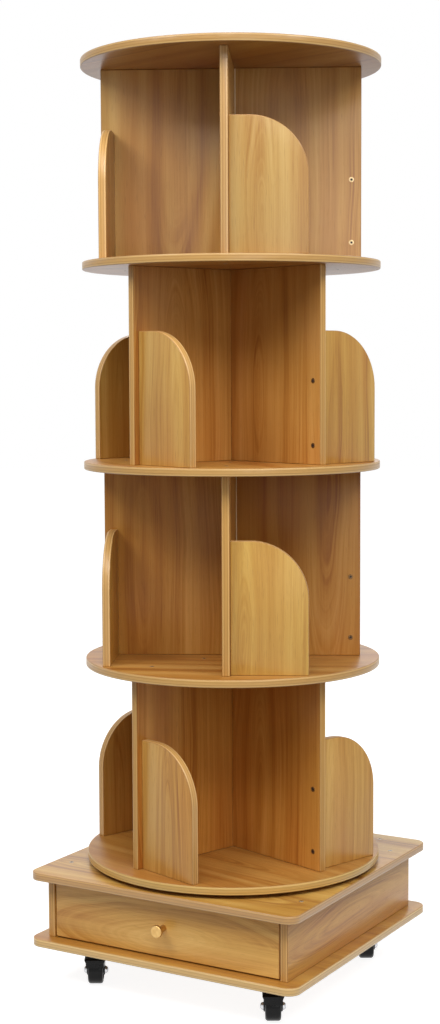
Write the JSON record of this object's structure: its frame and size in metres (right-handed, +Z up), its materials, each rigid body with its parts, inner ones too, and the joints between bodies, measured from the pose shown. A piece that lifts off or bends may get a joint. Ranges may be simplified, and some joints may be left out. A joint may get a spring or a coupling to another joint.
{
  "type": "revolving bookcase",
  "caption": "Revolving tiered bookcase of round wooden shelves with crossed dividers and arched stops, on a square drawer base with swivel casters.",
  "frame": {"origin": "on the floor, on the axis of the turning tower and at the middle of the square base", "axes": "+Z up, the drawer opens towards -Y, +X to the right as seen from the drawer's side"},
  "size_m": [0.465, 0.465, 1.42],
  "materials": {
    "plate_laminate": "satin honey-coloured wood laminate, long streaky grain",
    "divider_laminate": "satin honey-coloured wood laminate, upright grain",
    "stop_laminate": "satin honey-coloured wood laminate, upright grain",
    "base_board_laminate": "satin honey-coloured wood laminate",
    "base_panel_laminate": "satin honey-coloured wood laminate, level grain",
    "drawer_front_laminate": "satin honey-coloured wood laminate, level grain",
    "drawer_box_board": "pale satin board",
    "turntable_steel": "zinc-plated sheet",
    "slide_steel": "zinc-plated sheet",
    "knob_brass": "polished brass",
    "caster_black": "satin black paint",
    "wheel_black": "matt black tread",
    "axle_chrome": "polished chrome"
  },
  "bodies": {
    "base": {"base_bottom_board": "base_board_laminate", "base_top_board": "base_board_laminate", "base_left_panel": "base_panel_laminate", "base_right_panel": "base_panel_laminate", "base_back_panel": "base_panel_laminate", "turntable_lower_plate": "turntable_steel", "turntable_ball_ring": "turntable_steel", "slide_cabinet_members": "slide_steel", "slide_ball_cages": "slide_steel", "caster_plates": "caster_black"},
    "tower": {"round_plate_1": "plate_laminate", "round_plate_2": "plate_laminate", "round_plate_3": "plate_laminate", "round_plate_4": "plate_laminate", "round_plate_5": "plate_laminate", "tier_1_divider_1": "divider_laminate", "tier_1_divider_2": "divider_laminate", "tier_1_divider_3": "divider_laminate", "tier_1_divider_4": "divider_laminate", "tier_1_book_stops": "stop_laminate", "tier_2_divider_1": "divider_laminate", "tier_2_divider_2": "divider_laminate", "tier_2_divider_3": "divider_laminate", "tier_2_divider_4": "divider_laminate", "tier_2_book_stops": "stop_laminate", "tier_3_divider_1": "divider_laminate", "tier_3_divider_2": "divider_laminate", "tier_3_divider_3": "divider_laminate", "tier_3_divider_4": "divider_laminate", "tier_3_book_stops": "stop_laminate", "tier_4_divider_1": "divider_laminate", "tier_4_divider_2": "divider_laminate", "tier_4_divider_3": "divider_laminate", "tier_4_divider_4": "divider_laminate", "tier_4_book_stops": "stop_laminate", "turntable_upper_plate": "turntable_steel"},
    "drawer": {"drawer_front": "drawer_front_laminate", "drawer_left_side": "drawer_box_board", "drawer_right_side": "drawer_box_board", "drawer_back": "drawer_box_board", "drawer_floor": "drawer_box_board", "drawer_knob": "knob_brass", "slide_drawer_members": "slide_steel"},
    "caster_1": {"caster_1_fork": "caster_black", "caster_1_axle": "axle_chrome"},
    "wheel_1": {"caster_1_wheel": "wheel_black"},
    "caster_2": {"caster_2_fork": "caster_black", "caster_2_axle": "axle_chrome"},
    "wheel_2": {"caster_2_wheel": "wheel_black"},
    "caster_3": {"caster_3_fork": "caster_black", "caster_3_axle": "axle_chrome"},
    "wheel_3": {"caster_3_wheel": "wheel_black"},
    "caster_4": {"caster_4_fork": "caster_black", "caster_4_axle": "axle_chrome"},
    "wheel_4": {"caster_4_wheel": "wheel_black"}
  },
  "joints": [
    {"name": "tower_spin", "type": "hinge", "parent": "base", "child": "tower", "pos_m": [0, 0, 0.181], "axis": [0, 0, 1], "continuous": true},
    {"name": "drawer_slide", "type": "slide", "parent": "base", "child": "drawer", "axis": [0, -1, 0], "range_m": [0, 0.25]},
    {"name": "caster_1_swivel", "type": "hinge", "parent": "base", "child": "caster_1", "pos_m": [-0.1565, -0.1565, 0.042], "axis": [0, 0, 1], "continuous": true},
    {"name": "wheel_1_spin", "type": "hinge", "parent": "caster_1", "child": "wheel_1", "pos_m": [-0.1455, -0.17555, 0.021], "axis": [0.866, 0.5, 0], "continuous": true},
    {"name": "caster_2_swivel", "type": "hinge", "parent": "base", "child": "caster_2", "pos_m": [0.1565, -0.1565, 0.042], "axis": [0, 0, 1], "continuous": true},
    {"name": "wheel_2_spin", "type": "hinge", "parent": "caster_2", "child": "wheel_2", "pos_m": [0.1675, -0.17555, 0.021], "axis": [0.866, 0.5, 0], "continuous": true},
    {"name": "caster_3_swivel", "type": "hinge", "parent": "base", "child": "caster_3", "pos_m": [0.1565, 0.1565, 0.042], "axis": [0, 0, 1], "continuous": true},
    {"name": "wheel_3_spin", "type": "hinge", "parent": "caster_3", "child": "wheel_3", "pos_m": [0.1675, 0.13745, 0.021], "axis": [0.866, 0.5, 0], "continuous": true},
    {"name": "caster_4_swivel", "type": "hinge", "parent": "base", "child": "caster_4", "pos_m": [-0.1565, 0.1565, 0.042], "axis": [0, 0, 1], "continuous": true},
    {"name": "wheel_4_spin", "type": "hinge", "parent": "caster_4", "child": "wheel_4", "pos_m": [-0.1455, 0.13745, 0.021], "axis": [0.866, 0.5, 0], "continuous": true}
  ]
}
